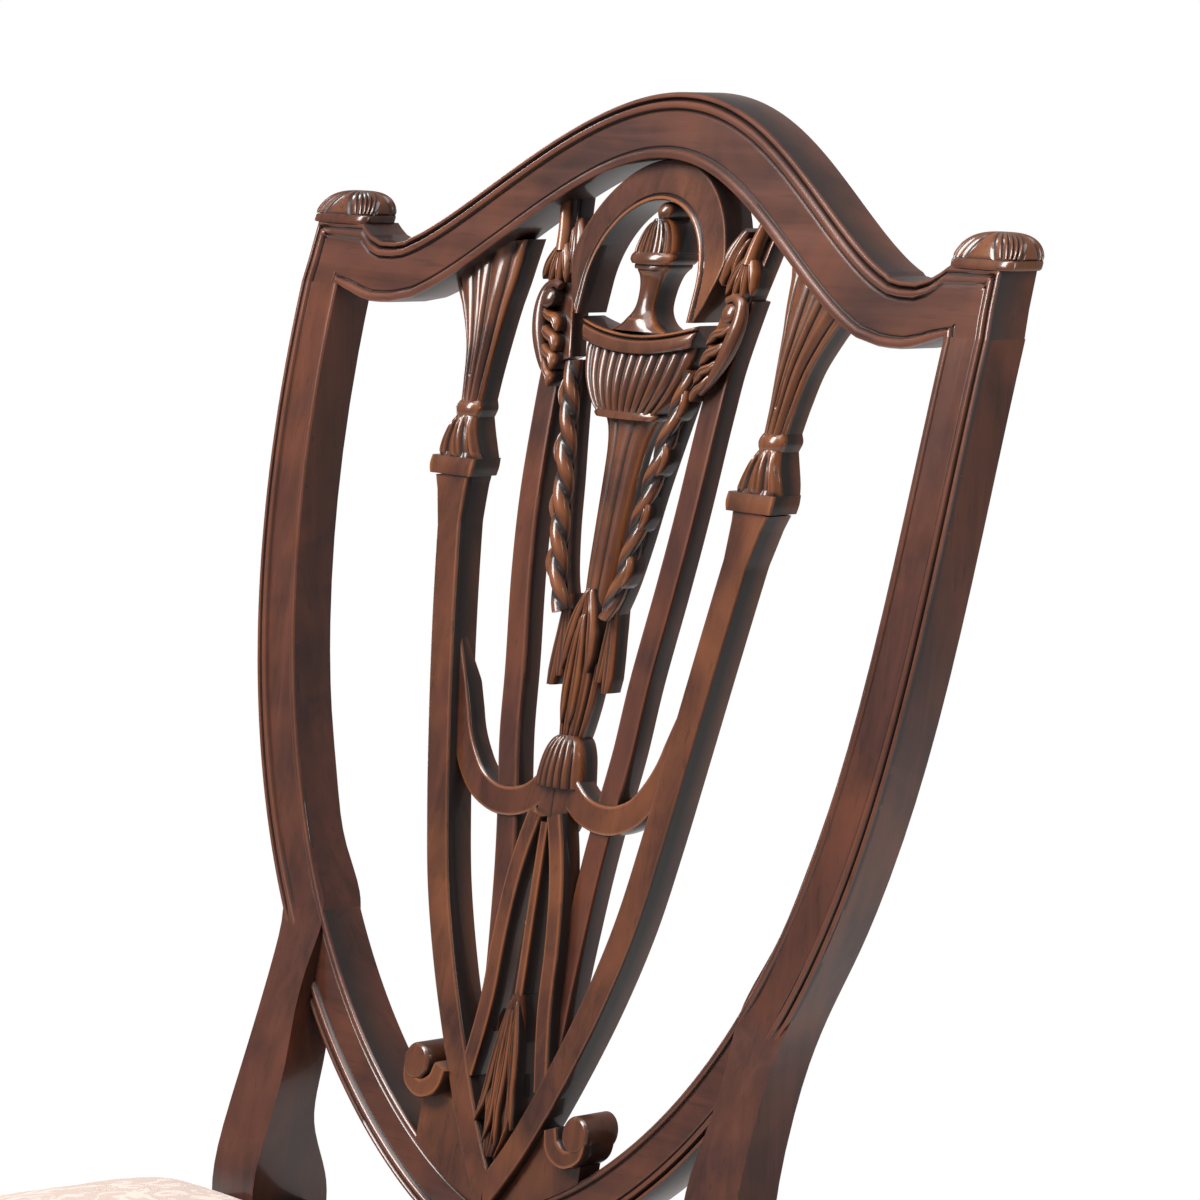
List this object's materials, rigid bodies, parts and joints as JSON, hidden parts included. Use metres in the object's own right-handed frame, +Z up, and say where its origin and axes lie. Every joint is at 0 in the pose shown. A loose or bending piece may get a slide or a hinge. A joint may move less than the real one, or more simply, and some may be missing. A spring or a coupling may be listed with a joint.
{
  "type": "shield back chair",
  "caption": "dining side chair with a carved shield-shaped back, pierced urn and rib splat, padded seat, tapered front legs and stretchers",
  "frame": {"origin": "centre of the floor rectangle under the chair", "axes": "+Z up, -Y the chair's front, X across the chair, which is symmetric about X = 0"},
  "size_m": [0.51, 0.5839, 1.0265],
  "materials": {
    "mahogany": "dark red-brown carved mahogany, satin lacquer, dark glaze in the recesses",
    "beech": "plain sawn beech, unfinished",
    "steel_screw": "bright countersunk wood screw",
    "webbing": "herringbone jute webbing",
    "hessian": "coarse jute hessian",
    "stuffing": "firm cotton and hair stuffing",
    "seat_fabric": "pale rose-beige woven upholstery fabric",
    "gimp": "woven gimp braid",
    "cambric": "black cambric dust cover",
    "glide_steel": "pressed steel glide"
  },
  "bodies": {
    "root": {"crest_rail": "mahogany", "shield_base_rail": "mahogany", "rear_post_left": "mahogany", "rear_post_right": "mahogany", "splat_arch": "mahogany", "splat_console_left": "mahogany", "splat_console_right": "mahogany", "outer_rib_left": "mahogany", "outer_rib_right": "mahogany", "inner_rib_left": "mahogany", "inner_rib_right": "mahogany", "urn_panel": "mahogany", "swag_rail_left": "mahogany", "swag_rail_right": "mahogany", "splat_knot": "mahogany", "splat_strand_left": "mahogany", "splat_strand_right": "mahogany", "splat_tassel": "mahogany", "splat_plinth": "mahogany", "rear_rail_cap": "mahogany", "front_leg_left": "mahogany", "front_leg_right": "mahogany", "side_stretcher_left": "mahogany", "side_stretcher_right": "mahogany", "cross_stretcher": "mahogany", "rear_stretcher": "mahogany", "front_seat_rail": "mahogany", "rear_seat_rail": "mahogany", "side_seat_rail_left": "mahogany", "side_seat_rail_right": "mahogany", "front_corner_block_left": "beech", "front_corner_block_right": "beech", "rear_corner_block_left": "beech", "rear_corner_block_right": "beech", "corner_block_screws": "steel_screw", "webbing_across": "webbing", "webbing_along": "webbing", "hessian": "hessian", "seat_stuffing": "stuffing", "seat_cover": "seat_fabric", "gimp_braid": "gimp", "dust_cover": "cambric", "front_glide_left": "glide_steel", "front_glide_right": "glide_steel", "rear_glide_left": "glide_steel", "rear_glide_right": "glide_steel"}
  },
  "joints": []
}
